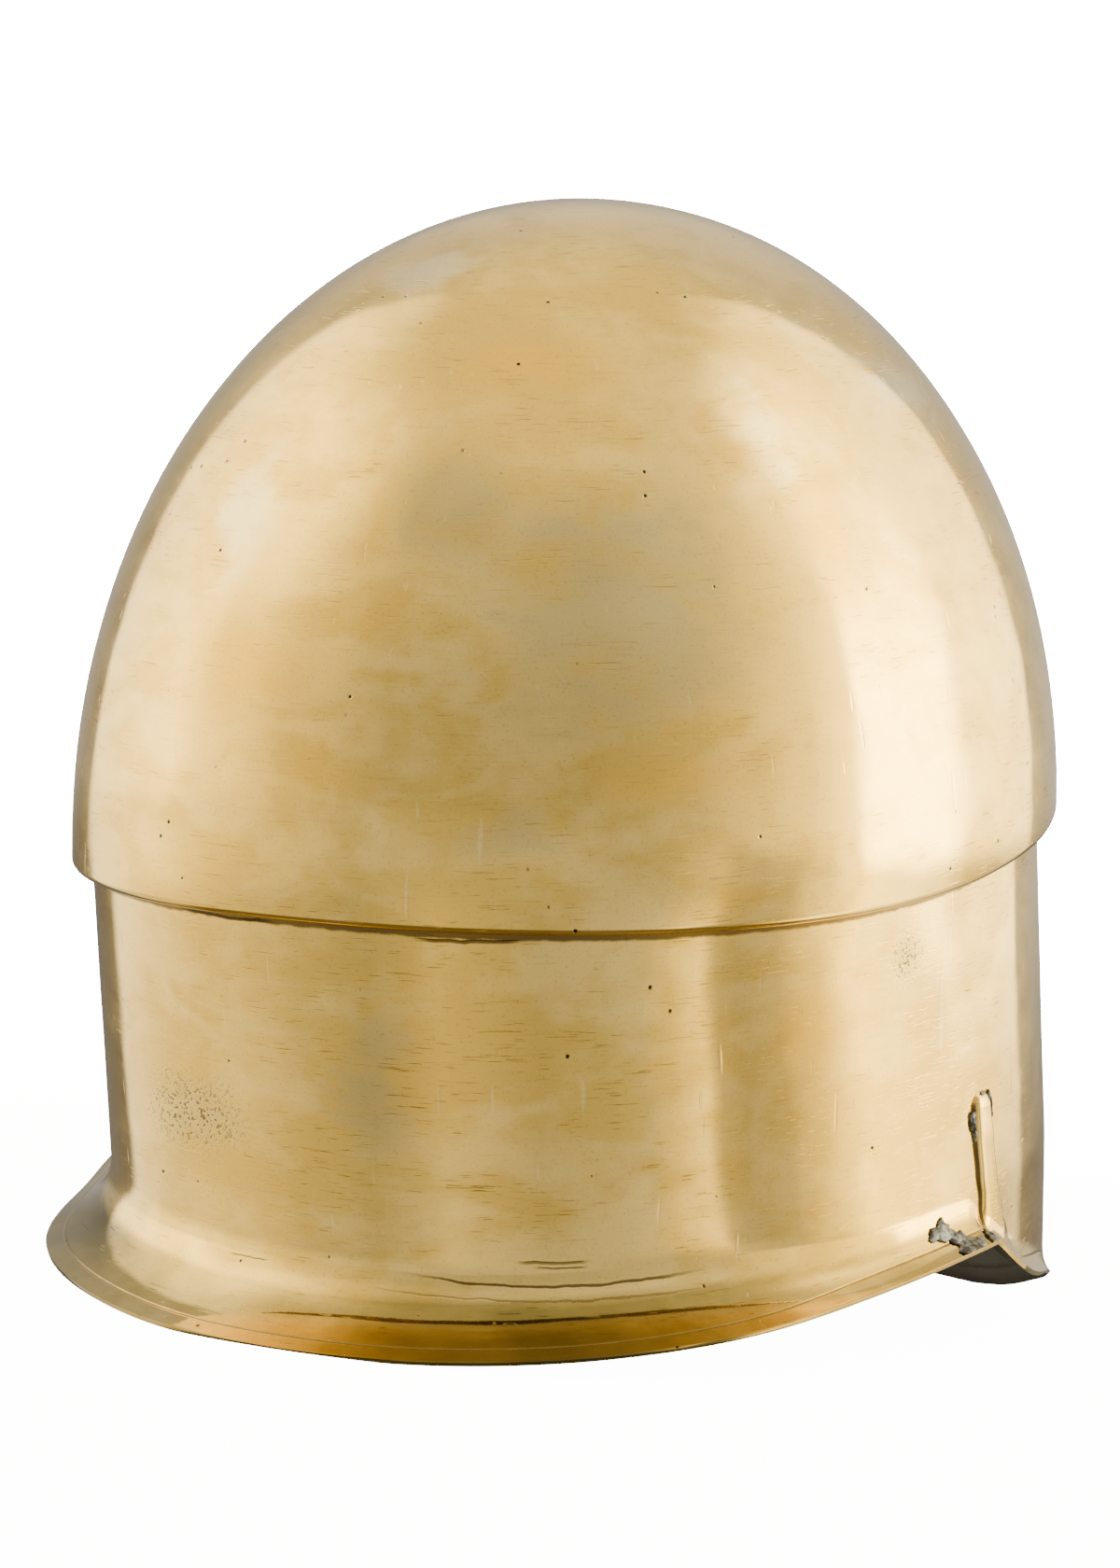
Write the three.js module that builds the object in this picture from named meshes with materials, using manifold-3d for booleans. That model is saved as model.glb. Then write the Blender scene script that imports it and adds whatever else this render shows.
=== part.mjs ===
// A brass Corinthian helmet: one thin metal shell with a tall crown bowl, a step below it,
// a lower wall, a flared neck guard, two cheekpieces, a nasal, and a soldered dart above the
// notch on each side. It stands as it would on a table: on the back of the neck guard's rim
// and the tips of the cheekpieces.
//
// Millimetres, +Z up. The face looks along -Y and the wearer's right is -X. The origin is on
// the table, under the middle of the helmet's box.
//
// The shell is described upright first, with its height 0 at the back of the neck guard's rim,
// and then leaned back onto its three points of rest.

import * as THREE from "three";
import { ParametricGeometry } from "three/addons/geometries/ParametricGeometry.js";
import { mergeVertices } from "three/addons/utils/BufferGeometryUtils.js";
import Module from "manifold-3d";

// ---- Driving dimensions -------------------------------------------------------------------

const SHEET = 1.2; // thickness of the brass

const CROWN = {
  halfWidth: 118,
  backLength: 144, // from the middle to the back of the bowl
  frontLength: 134, // from the middle to the brow
  topHeight: 259,
  fullness: 2.03, // exponent of the bowl's upright section: 2 is an ellipse
};

const PLAN_POWER = 2.15; // exponent of the plan curve: 2 is an ellipse

const STEP = {
  backHeight: 98, // of the crown's lower edge, at the back
  frontRise: 13, // how much higher it is at the front
  sideDip: 5.5, // how much lower it is at the temples
  edgeRadius: 2.2, // of the crown's rounded lower edge
  overhang: 5, // from the crown's edge in to the wall
  creaseRise: 0.6, // how far the underside climbs towards the wall
  browPeak: 14, // extra height of the point between the brows
  browPeakSpan: 16, // its half width, in degrees round from the front
};

const WALL = {
  rootHeight: 18, // where the back of the wall turns into the neck guard
  backTaper: 7, // how far the wall draws in from the step to there, at the back
  sideTaper: -4.5, // at the sides it spreads instead
  frontTaper: -2,
};

// A keel down the front of the wall, which becomes the nasal.
const KEEL = { depth: 5, span: 13 };

// The lower edge of the shell, from the back round to the front on either side. Each row gives
// the angle round from the back, the height of the edge, how far it flares out from the wall,
// and how high above the edge the flare starts.
const LOWER_EDGE = [
  { angle: 0, height: 0, flare: 20.5, depth: 18.5 },
  { angle: 20, height: 0.5, flare: 19, depth: 18 },
  { angle: 40, height: 2.8, flare: 17.5, depth: 16.5 },
  { angle: 60, height: 4.9, flare: 9.5, depth: 13.5 },
  { angle: 74, height: 7.4, flare: 8.5, depth: 11 },
  { angle: 83, height: 8.8, flare: 8.8, depth: 9 },
  { angle: 90, height: -1, flare: 7.5, depth: 9 },
  { angle: 98, height: -7.5, flare: 5, depth: 9 },
  { angle: 112, height: -15, flare: 2.4, depth: 8 },
  { angle: 131, height: -28, flare: 2.2, depth: 7 },
  { angle: 145, height: -38, flare: 2, depth: 6 },
  { angle: 158, height: -42.5, flare: 2, depth: 6 },
  { angle: 180, height: -43.5, flare: 2, depth: 6 },
];
const NOTCH_ANGLE = 83; // the row where the neck guard meets the cheekpiece

const FLARE_HOLLOW = 0.55; // how much of the flare's height its hollow curve keeps upright

// The raised dart above each notch: a narrow ridge that fans out where it meets the notch.
// Each row gives the share of the way down, the angle round from the back, the ridge's half
// width and its height above the wall.
const DART = {
  topHeight: 43,
  rows: [
    { down: 0.02, angle: 86.4, halfWidth: 1.4, raise: 0.8 },
    { down: 0.09, angle: 86.4, halfWidth: 2.1, raise: 1.3 },
    { down: 0.45, angle: 86.8, halfWidth: 2.2, raise: 1.3 },
    { down: 0.7, angle: 87.6, halfWidth: 3.2, raise: 1.2 },
    { down: 0.84, angle: 88.8, halfWidth: 5, raise: 1.1 },
    { down: 0.96, angle: 90, halfWidth: 7, raise: 0.9 },
  ],
  stations: 24, // along the ridge
  sectionPoints: 14, // around it
  rootDepth: 0.9, // how deep the ridge is rooted in the sheet
};

// The face opening, as seen from the front, on the wearer's left of the middle.
const FACE = {
  gapBottomHalfWidth: 9, // between the tips of the cheekpieces
  gapTopHalfWidth: 19, // beside the nasal
  gapTopHeight: 66,
  eyeOuter: { x: 70, height: 80 },
  eyeLow: { x: 46, height: 66 },
  eyeHigh: { x: 36, height: 112 },
  eyeInner: { x: 10.5, height: 95 },
  nasalHalfWidth: 10.5,
  nasalFootHeight: 30,
  nasalTipHeight: 18,
};

const TOE_ANGLE = 160; // where the cheekpieces' lowest points lie, round from the back
const REST_WEAR = 0.4; // depth of the flats on which the helmet stands

// How finely the shell is divided.
const MOST_ANGLE_STEP = 6; // degrees
const CROWN_LATITUDES = [90, 80, 68, 56, 45, 34, 24, 15, 7, 0];
const EDGE_TURNS = [30, 60, 90];
const WALL_SHARES = [0, 0.25, 0.5, 0.75, 1];
const FLARE_SHARES = [0.2, 0.4, 0.6, 0.8, 1];

const BRASS = { color: 0xc9a765, roughness: 0.28, metalness: 1 };

// ---- Plan curve and heights ---------------------------------------------------------------

const radians = THREE.MathUtils.degToRad;
const degrees = THREE.MathUtils.radToDeg;

// The angle from the front, for an angle round from the back in radians.
const fromFront = (angle) => Math.PI - Math.abs(angle);

// A smooth bump of height 1 in the middle.
const bump = (distance, span) => Math.exp(-((distance / span) ** 2));

// A point of the plan curve at an angle round from the back, drawn in by an inset.
function planPoint(angle, inset) {
  const sin = Math.sin(angle);
  const cos = Math.cos(angle);
  const length = (cos >= 0 ? CROWN.backLength : CROWN.frontLength) - inset;
  const width = CROWN.halfWidth - inset;
  const reach =
    (Math.abs(sin / width) ** PLAN_POWER + Math.abs(cos / length) ** PLAN_POWER) **
    (-1 / PLAN_POWER);
  return new THREE.Vector2(-sin * reach, cos * reach);
}

// The height of the crown's lower edge.
function stepHeight(angle) {
  const forward = (1 - Math.cos(angle)) / 2;
  const peak = bump(fromFront(angle), radians(STEP.browPeakSpan));
  return (
    STEP.backHeight +
    STEP.frontRise * forward ** 1.5 -
    STEP.sideDip * Math.sin(angle) ** 2 +
    STEP.browPeak * peak
  );
}

// The row of the lower edge at an angle, between the rows of the table by a smooth curve
// that keeps the notch sharp.
function lowerEdge(angle) {
  const at = Math.min(Math.abs(degrees(angle)), 180);
  const next = Math.max(1, LOWER_EDGE.findIndex((row) => row.angle >= at));
  const from = LOWER_EDGE[next - 1];
  const to = LOWER_EDGE[next];
  const share = (at - from.angle) / (to.angle - from.angle);
  const slope = (index, key) => {
    const before = LOWER_EDGE[index - 1];
    const after = LOWER_EDGE[index + 1];
    const row = LOWER_EDGE[index];
    if (!before || !after) return 0;
    if (row.angle === NOTCH_ANGLE) {
      const side = index === next ? before : after;
      return (row[key] - side[key]) / (row.angle - side.angle);
    }
    return (after[key] - before[key]) / (after.angle - before.angle);
  };
  const blend = (key) => {
    const span = to.angle - from.angle;
    const s2 = share * share;
    const s3 = s2 * share;
    return (
      (2 * s3 - 3 * s2 + 1) * from[key] +
      (s3 - 2 * s2 + share) * span * slope(next - 1, key) +
      (3 * s2 - 2 * s3) * to[key] +
      (s3 - s2) * span * slope(next, key)
    );
  };
  return { height: blend("height"), flare: blend("flare"), depth: blend("depth") };
}

// How far the wall has drawn in at a height, apart from the overhang.
function wallInset(angle, height) {
  const cos = Math.cos(angle);
  const taper =
    WALL.backTaper * Math.max(cos, 0) +
    WALL.sideTaper * (1 - Math.abs(cos)) +
    WALL.frontTaper * Math.max(-cos, 0);
  const top = stepHeight(angle);
  const down = (top - height) / (top - WALL.rootHeight);
  const keel = KEEL.depth * bump(fromFront(angle), radians(KEEL.span));
  return STEP.overhang + taper * Math.min(down, 1) - keel;
}

// ---- The shell's surface, row by row ------------------------------------------------------

// A point of the shell, upright: height above the rim, drawn in from the crown's plan.
function shellPoint(angle, inset, height) {
  const plan = planPoint(angle, inset);
  return new THREE.Vector3(plan.x, plan.y, height);
}

// The crown at a latitude: 90 degrees is the top.
function crownPoint(angle, latitude, depth) {
  const power = 2 / CROWN.fullness;
  const across = Math.cos(radians(latitude)) ** power;
  const up = Math.sin(radians(latitude)) ** power;
  const base = stepHeight(angle) + STEP.edgeRadius;
  const plan = planPoint(angle, depth).multiplyScalar(latitude === 90 ? 0 : across);
  return new THREE.Vector3(plan.x, plan.y, base + (CROWN.topHeight - depth - base) * up);
}

// The rounded lower edge of the crown, outside, at a turn from upright (0) to level (90).
function crownEdgePoint(angle, turn) {
  const r = STEP.edgeRadius;
  const inset = r * (1 - Math.cos(radians(turn)));
  return shellPoint(angle, inset, stepHeight(angle) + r * (1 - Math.sin(radians(turn))));
}

// The wall at a share of its height, from the crease (0) to the top of the flare (1).
function wallPoint(angle, share, depth) {
  const edge = lowerEdge(angle);
  const top = stepHeight(angle) + STEP.creaseRise + depth;
  const foot = edge.height + edge.depth;
  const height = top + (foot - top) * share;
  return shellPoint(angle, wallInset(angle, height) + depth, height);
}

// The flare at a share of the way from its top (0) to the rim (1): a hollow curve.
function flarePoint(angle, share, depth) {
  const edge = lowerEdge(angle);
  const top = edge.height + edge.depth;
  const hollow = edge.height + edge.depth * (1 - FLARE_HOLLOW);
  const out = edge.flare * share * share;
  const height =
    top * (1 - share) ** 2 + hollow * 2 * share * (1 - share) + edge.height * share * share;
  const across = 2 * edge.flare * share;
  const down = 2 * (1 - share) * (top - hollow) + 2 * share * (hollow - edge.height);
  const length = Math.hypot(across, down);
  const inset = wallInset(angle, top) - out + (depth * down) / length;
  return shellPoint(angle, inset, height - (depth * across) / length);
}

// The rows of the shell's closed section: down the outside and back up the inside.
const sectionRows = [
  ...CROWN_LATITUDES.map((latitude) => (angle) => crownPoint(angle, latitude, 0)),
  ...EDGE_TURNS.map((turn) => (angle) => crownEdgePoint(angle, turn)),
  ...WALL_SHARES.map((share) => (angle) => wallPoint(angle, share, 0)),
  ...FLARE_SHARES.map((share) => (angle) => flarePoint(angle, share, 0)),
  ...FLARE_SHARES.toReversed().map((share) => (angle) => flarePoint(angle, share, SHEET)),
  ...WALL_SHARES.toReversed().map((share) => (angle) => wallPoint(angle, share, SHEET)),
  ...CROWN_LATITUDES.toReversed().map((latitude) => (angle) => crownPoint(angle, latitude, SHEET)),
];

// The angles round the shell: even steps, with the notches' own angle on each side.
function shellAngles() {
  const half = [0];
  for (const stop of [NOTCH_ANGLE, 180]) {
    const start = half[half.length - 1];
    const steps = Math.ceil((stop - start) / MOST_ANGLE_STEP);
    for (let i = 1; i <= steps; i++) half.push(start + ((stop - start) * i) / steps);
  }
  const other = half.slice(1).toReversed().map((angle) => -angle);
  return [...other, ...half].map(radians);
}

// ---- Solids -------------------------------------------------------------------------------

const wasm = await Module();
wasm.setup();

// The solid inside a closed geometry.
function solidOf(geometry) {
  const bare = geometry.clone();
  bare.deleteAttribute("normal");
  bare.deleteAttribute("uv");
  const merged = mergeVertices(bare, 1e-4);
  const index = merged.index.array;
  const corners = [];
  for (let i = 0; i < index.length; i += 3) {
    const [a, b, c] = index.slice(i, i + 3);
    if (a !== b && b !== c && c !== a) corners.push(a, b, c);
  }
  const mesh = new wasm.Mesh({
    numProp: 3,
    vertProperties: merged.attributes.position.array,
    triVerts: new Uint32Array(corners),
  });
  return new wasm.Manifold(mesh);
}

// The geometry of a solid's surface.
function geometryOf(solid) {
  const mesh = solid.getMesh();
  const geometry = new THREE.BufferGeometry();
  geometry.setAttribute("position", new THREE.BufferAttribute(mesh.vertProperties, 3));
  geometry.setIndex(new THREE.BufferAttribute(mesh.triVerts, 1));
  return geometry;
}

// The plain shell, with no face opening and no darts.
function shellGeometry() {
  const angles = shellAngles();
  const place = (u, v, target) => {
    const angle = angles[Math.round(u * (angles.length - 1))];
    const row = sectionRows[Math.round(v * (sectionRows.length - 1))];
    target.copy(row(angle));
  };
  return new ParametricGeometry(place, angles.length - 1, sectionRows.length - 1);
}

// The tool that cuts the face opening on one side: side is 1 for the wearer's left, -1 for
// the right. Its outline is drawn upright, in x and height.
function faceTool(side) {
  const outline = new THREE.Shape();
  const below = LOWER_EDGE[LOWER_EDGE.length - 1].height - 10;
  const f = FACE;
  outline.moveTo(0, below);
  outline.lineTo(side * f.gapBottomHalfWidth, below);
  outline.quadraticCurveTo(
    side * f.gapTopHalfWidth, f.nasalTipHeight, side * f.gapTopHalfWidth, f.gapTopHeight - 8);
  outline.quadraticCurveTo(
    side * f.gapTopHalfWidth, f.gapTopHeight, side * (f.gapTopHalfWidth + 8), f.gapTopHeight);
  outline.quadraticCurveTo(
    side * f.eyeLow.x, f.eyeLow.height, side * f.eyeOuter.x, f.eyeOuter.height);
  outline.quadraticCurveTo(
    side * f.eyeHigh.x, f.eyeHigh.height, side * f.eyeInner.x, f.eyeInner.height);
  outline.quadraticCurveTo(
    side * (f.nasalHalfWidth - 3), (f.eyeInner.height + f.nasalFootHeight) / 2,
    side * f.nasalHalfWidth, f.nasalFootHeight);
  outline.quadraticCurveTo(side * f.nasalHalfWidth * 0.7, f.nasalTipHeight, 0, f.nasalTipHeight);
  outline.closePath();
  const depth = CROWN.frontLength;
  const tool = new THREE.ExtrudeGeometry(outline, { depth, bevelEnabled: false, curveSegments: 8 });
  // The extrusion runs along +Z from the outline's plane: stand it up to run along -Y.
  return tool.rotateX(Math.PI / 2).translate(0, -CROWN.frontLength * 0.2, 0);
}

// A point at a share of the way down a dart, from its top (0) to the rim (1), and at a depth
// below the shell's surface: a negative depth is above it.
function dartPoint(angle, down, depth) {
  const edge = lowerEdge(angle);
  const flareTop = edge.height + edge.depth;
  const wallShare = (DART.topHeight - flareTop) / (DART.topHeight - edge.height);
  if (down > wallShare) return flarePoint(angle, (down - wallShare) / (1 - wallShare), depth);
  const height = DART.topHeight + (edge.height - DART.topHeight) * down;
  return shellPoint(angle, wallInset(angle, height) + depth, height);
}

// The dart's sizes at a share of the way down, between the rows of its table.
function dartRow(down) {
  const { rows } = DART;
  const found = rows.findIndex((row) => row.down >= down);
  const next = found < 1 ? (found < 0 ? rows.length - 1 : 1) : found;
  const from = rows[next - 1];
  const to = rows[next];
  const share = THREE.MathUtils.clamp((down - from.down) / (to.down - from.down), 0, 1);
  const between = (key) => THREE.MathUtils.lerp(from[key], to[key], share);
  return { angle: between("angle"), halfWidth: between("halfWidth"), raise: between("raise") };
}

// A dart: a closed ridge that follows the wall and the flare, rooted in the sheet. Its ends
// are drawn to a point inside the sheet.
function dartGeometry(side) {
  const { rows, stations, sectionPoints, rootDepth } = DART;
  const place = (u, v, target) => {
    const down = THREE.MathUtils.lerp(rows[0].down, rows[rows.length - 1].down, v);
    const row = dartRow(down);
    const isTip = v === 0 || v === 1;
    const turn = 2 * Math.PI * u;
    const width = isTip ? 0 : row.halfWidth * Math.cos(turn);
    const out = isTip ? -0.5 : Math.sin(turn);
    const depth = out > 0 ? -row.raise * out : -rootDepth * out;
    const angle = side * (radians(row.angle) + width / CROWN.halfWidth);
    target.copy(dartPoint(angle, down, depth));
  };
  return new ParametricGeometry(place, sectionPoints, stations);
}

// The lean that brings the back of the rim and the tips of the cheekpieces to one level.
function restLean() {
  const heel = flarePoint(0, 1, SHEET);
  const toe = flarePoint(radians(TOE_ANGLE), 1, SHEET);
  return Math.atan2(heel.z - toe.z, heel.y - toe.y);
}

// A solid outside-out, whichever way its surface was wound.
function facingOut(geometry) {
  const solid = solidOf(geometry);
  if (solid.volume() > 0) return solid;
  const index = geometry.index.array;
  for (let i = 0; i < index.length; i += 3) [index[i + 1], index[i + 2]] = [index[i + 2], index[i + 1]];
  return solidOf(geometry);
}

// The whole shell, leaned back to stand on the table.
function helmetGeometry() {
  let upright = facingOut(shellGeometry());
  for (const side of [-1, 1]) {
    upright = upright.add(facingOut(dartGeometry(side)));
    upright = upright.subtract(facingOut(faceTool(side)));
  }
  const leaned = geometryOf(upright).rotateX(-restLean());
  leaned.computeBoundingBox();
  const { min, max } = leaned.boundingBox;
  leaned.translate(0, -(min.y + max.y) / 2, -min.z - REST_WEAR);
  const worn = new THREE.BoxGeometry(1000, 1000, 100).translate(0, 0, -50);
  return geometryOf(solidOf(leaned).subtract(solidOf(worn)));
}

function brassShell() {
  const mesh = new THREE.Mesh(helmetGeometry(), new THREE.MeshStandardMaterial(BRASS));
  mesh.name = "helmet_shell";
  return mesh;
}

const helmet = new THREE.Group();
helmet.add(brassShell());

export default helmet;
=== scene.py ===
"""The looks of a brass Corinthian helmet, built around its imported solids.

The helmet is described upright, in millimetres, with its height 0 at the back of the neck
guard's rim and its face along -Y. A stand then leans it back onto its points of rest and turns
millimetres into metres. Angles run round from the back, towards the wearer's right (-X).
"""

import logging
import math
from dataclasses import dataclass
from enum import Enum
from typing import Iterable, Sequence

import bmesh
import bpy
from mathutils import Matrix, Vector, noise

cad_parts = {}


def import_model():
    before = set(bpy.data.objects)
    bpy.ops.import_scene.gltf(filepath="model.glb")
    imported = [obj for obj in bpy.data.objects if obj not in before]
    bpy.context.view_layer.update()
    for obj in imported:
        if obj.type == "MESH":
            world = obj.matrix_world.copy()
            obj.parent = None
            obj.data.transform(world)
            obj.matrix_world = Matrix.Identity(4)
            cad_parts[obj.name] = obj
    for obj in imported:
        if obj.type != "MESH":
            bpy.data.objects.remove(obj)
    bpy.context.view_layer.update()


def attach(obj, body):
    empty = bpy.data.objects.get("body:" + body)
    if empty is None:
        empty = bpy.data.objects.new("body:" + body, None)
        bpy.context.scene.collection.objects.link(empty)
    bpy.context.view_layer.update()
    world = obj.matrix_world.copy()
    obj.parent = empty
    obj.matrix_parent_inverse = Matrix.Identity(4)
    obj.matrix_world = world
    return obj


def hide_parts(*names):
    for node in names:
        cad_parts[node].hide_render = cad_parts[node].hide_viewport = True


log = logging.getLogger("helmet")

Pair = tuple[float, float]
Triple = tuple[float, float, float]

MM = 0.001
DEGREES = 180 / math.pi
SHELL_NODE = "helmet_shell"
BODY = "root"


# ---- Form -----------------------------------------------------------------------------------


def bump(distance: float, span: float) -> float:
    """A smooth bump of height 1 in the middle."""
    return math.exp(-((distance / span) ** 2))


def lerp(start: float, end: float, share: float) -> float:
    """The value a share of the way from start to end."""
    return start + (end - start) * share


def smooth(share: float) -> float:
    """A share from 0 to 1 that leaves and arrives gently."""
    held = min(max(share, 0.0), 1.0)
    return held * held * (3 - 2 * held)


@dataclass(frozen=True)
class EdgeRow:
    """The shell's lower edge at one angle: its height, its flare out and the flare's depth."""

    angle: float
    height: float
    flare: float
    depth: float


@dataclass(frozen=True)
class HelmetForm:
    """The outside form of the shell, upright, in millimetres."""

    sheet: float = 1.2
    half_width: float = 118
    back_length: float = 144
    front_length: float = 134
    top_height: float = 259
    fullness: float = 2.03
    plan_power: float = 2.15
    step_back: float = 98
    step_front_rise: float = 13
    step_side_dip: float = 5.5
    step_radius: float = 2.2
    step_overhang: float = 5
    crease_rise: float = 0.6
    brow_peak: float = 14
    brow_span: float = 16
    wall_root: float = 18
    back_taper: float = 7
    side_taper: float = -4.5
    front_taper: float = -2
    keel_depth: float = 5
    keel_span: float = 13
    notch_angle: float = 83
    flare_hollow: float = 0.72
    toe_angle: float = 160
    rest_wear: float = 0.4
    edge_rows: tuple[EdgeRow, ...] = (
        EdgeRow(0, 0, 20.5, 18.5),
        EdgeRow(20, 0.5, 19, 18),
        EdgeRow(40, 2.8, 17.5, 16.5),
        EdgeRow(60, 4.9, 9.5, 13.5),
        EdgeRow(74, 7.4, 8.5, 11),
        EdgeRow(83, 8.8, 8.8, 9),
        EdgeRow(90, -1, 7.5, 9),
        EdgeRow(98, -7.5, 5, 9),
        EdgeRow(112, -15, 2.4, 8),
        EdgeRow(131, -28, 2.2, 7),
        EdgeRow(145, -38, 2, 6),
        EdgeRow(158, -42.5, 2, 6),
        EdgeRow(180, -43.5, 2, 6),
    )

    def at(self, angle: float, inset: float, height: float) -> Vector:
        """A point at a height, drawn in from the crown's plan.

        Args:
            angle: Angle round from the back, in radians.
            inset: How far inside the plan curve the point lies.
            height: Its height above the back of the rim.

        Returns:
            The point, upright, in millimetres.
        """
        sin, cos = math.sin(angle), math.cos(angle)
        length = (self.back_length if cos >= 0 else self.front_length) - inset
        width = self.half_width - inset
        total = abs(sin / width) ** self.plan_power + abs(cos / length) ** self.plan_power
        reach = total ** (-1 / self.plan_power)
        return Vector((-sin * reach, cos * reach, height))

    def step_height(self, angle: float) -> float:
        """The height of the crown's lower edge at an angle."""
        forward = (1 - math.cos(angle)) / 2
        peak = bump(math.pi - abs(angle), math.radians(self.brow_span))
        dip = self.step_side_dip * math.sin(angle) ** 2
        return self.step_back + self.step_front_rise * forward**1.5 - dip + self.brow_peak * peak

    def _slope(self, index: int, is_end: bool, key: str) -> float:
        """The slope of one column of the edge's table at a row, kinked at the notch."""
        rows = self.edge_rows
        if index in (0, len(rows) - 1):
            return 0.0
        low, row, high = rows[index - 1], rows[index], rows[index + 1]
        if row.angle == self.notch_angle:
            low, high = (low, row) if is_end else (row, high)
        return (getattr(high, key) - getattr(low, key)) / (high.angle - low.angle)

    def edge(self, angle: float) -> EdgeRow:
        """The lower edge at an angle, by a smooth curve through the table's rows.

        Args:
            angle: Angle round from the back, in radians.

        Returns:
            The row there.
        """
        at = min(abs(math.degrees(angle)), 180.0)
        rows = self.edge_rows
        after = next((i for i, row in enumerate(rows) if row.angle >= at), len(rows) - 1)
        after = max(1, after)
        start, end = rows[after - 1], rows[after]
        span = end.angle - start.angle
        s = (at - start.angle) / span
        s2, s3 = s * s, s * s * s

        def blend(key: str) -> float:
            """One column's value there."""
            return (
                (2 * s3 - 3 * s2 + 1) * getattr(start, key)
                + (s3 - 2 * s2 + s) * span * self._slope(after - 1, False, key)
                + (3 * s2 - 2 * s3) * getattr(end, key)
                + (s3 - s2) * span * self._slope(after, True, key)
            )

        return EdgeRow(at, blend("height"), blend("flare"), blend("depth"))

    def wall_inset(self, angle: float, height: float) -> float:
        """How far inside the crown's plan the wall lies at a height."""
        cos = math.cos(angle)
        taper = self.back_taper * max(cos, 0) + self.side_taper * (1 - abs(cos))
        taper += self.front_taper * max(-cos, 0)
        top = self.step_height(angle)
        down = (top - height) / (top - self.wall_root)
        keel = self.keel_depth * bump(math.pi - abs(angle), math.radians(self.keel_span))
        return self.step_overhang + taper * min(down, 1) - keel

    def crown(self, angle: float, latitude: float) -> Vector:
        """The bowl at a latitude in degrees: 90 is the top."""
        power = 2 / self.fullness
        across = math.cos(math.radians(latitude)) ** power if latitude < 90 else 0.0
        up = math.sin(math.radians(latitude)) ** power
        base = self.step_height(angle) + self.step_radius
        point = self.at(angle, 0, 0) * across
        point.z = base + (self.top_height - base) * up
        return point

    def crown_edge(self, angle: float, turn: float) -> Vector:
        """The bowl's rounded lower edge at a turn from upright (0) to level (90)."""
        r = self.step_radius
        inset = r * (1 - math.cos(math.radians(turn)))
        rise = r * (1 - math.sin(math.radians(turn)))
        return self.at(angle, inset, self.step_height(angle) + rise)

    def wall(self, angle: float, share: float) -> Vector:
        """The wall at a share of its height, from the crease (0) to the flare (1)."""
        edge = self.edge(angle)
        top = self.step_height(angle) + self.crease_rise
        height = lerp(top, edge.height + edge.depth, share)
        return self.at(angle, self.wall_inset(angle, height), height)

    def flare(self, angle: float, share: float, depth: float = 0.0) -> Vector:
        """The flare at a share of the way from its top (0) to the rim (1).

        Args:
            angle: Angle round from the back, in radians.
            share: How far along the hollow curve.
            depth: How far below the outside surface.

        Returns:
            The point, upright.
        """
        edge = self.edge(angle)
        top = edge.height + edge.depth
        hollow = edge.height + edge.depth * (1 - self.flare_hollow)
        out = edge.flare * share * share
        height = top * (1 - share) ** 2 + hollow * 2 * share * (1 - share)
        height += edge.height * share * share
        across = 2 * edge.flare * share
        down = 2 * (1 - share) * (top - hollow) + 2 * share * (hollow - edge.height)
        length = math.hypot(across, down)
        inset = self.wall_inset(angle, top) - out + depth * down / length
        return self.at(angle, inset, height - depth * across / length)

    def rest_lean(self) -> float:
        """The lean that brings the heel and the toes to one level, in radians."""
        heel = self.flare(0, 1, self.sheet)
        toe = self.flare(math.radians(self.toe_angle), 1, self.sheet)
        return math.atan2(heel.z - toe.z, heel.y - toe.y)


class Drop:
    """The outside of the lower shell at one angle, from the crease down to the rim's edge."""

    def __init__(self, form: HelmetForm, angle: float, samples: int = 40) -> None:
        """Walks down the wall and the flare and measures the way.

        Args:
            form: The helmet's form.
            angle: Angle round from the back, in radians.
            samples: Points on the wall, and again on the flare.
        """
        shares = [i / samples for i in range(samples + 1)]
        self.points = [form.wall(angle, share) for share in shares]
        self.points += [form.flare(angle, share) for share in shares[1:]]
        self.lengths = [0.0]
        for before, after in zip(self.points, self.points[1:]):
            self.lengths.append(self.lengths[-1] + (after - before).length)

    @property
    def length(self) -> float:
        """The way from the crease to the rim's edge."""
        return self.lengths[-1]

    def below_crease(self, way: float) -> Vector:
        """The point at a way down from the crease."""
        way = min(max(way, 0.0), self.length)
        after = next(i for i, length in enumerate(self.lengths) if length >= way)
        after = max(1, after)
        low, high = self.lengths[after - 1], self.lengths[after]
        return self.points[after - 1].lerp(self.points[after], (way - low) / (high - low))


@dataclass(frozen=True)
class Stand:
    """Leans upright points back onto the helmet's points of rest, and makes them metres."""

    lean: float
    forward: float
    up: float

    @classmethod
    def under(cls, form: HelmetForm, points: Iterable[Vector]) -> "Stand":
        """The stand under a form, centred front to back, its lowest point worn flat.

        Args:
            form: The helmet's form.
            points: Its outside points, upright.

        Returns:
            The stand.
        """
        lean = form.rest_lean()
        turned = Matrix.Rotation(-lean, 3, "X")
        leaned = [turned @ point for point in points]
        fronts = [point.y for point in leaned]
        lowest = form.flare(0, 1, form.sheet)
        floor = (turned @ lowest).z
        return cls(lean, -(min(fronts) + max(fronts)) / 2, -floor - form.rest_wear)

    @property
    def matrix(self) -> Matrix:
        """The whole move, from upright millimetres to metres at rest."""
        turn = Matrix.Rotation(-self.lean, 4, "X")
        shift = Matrix.Translation((0, self.forward, self.up))
        return Matrix.Scale(MM, 4) @ shift @ turn

    @property
    def upright_shift(self) -> Vector:
        """What is added, in metres, after leaning a point at rest forward to stand upright."""
        return Matrix.Rotation(self.lean, 3, "X") @ Vector((0, -self.forward, -self.up)) * MM

    def direction(self, way: Vector) -> Vector:
        """A direction given upright, leaned."""
        return Matrix.Rotation(-self.lean, 3, "X") @ way


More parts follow.
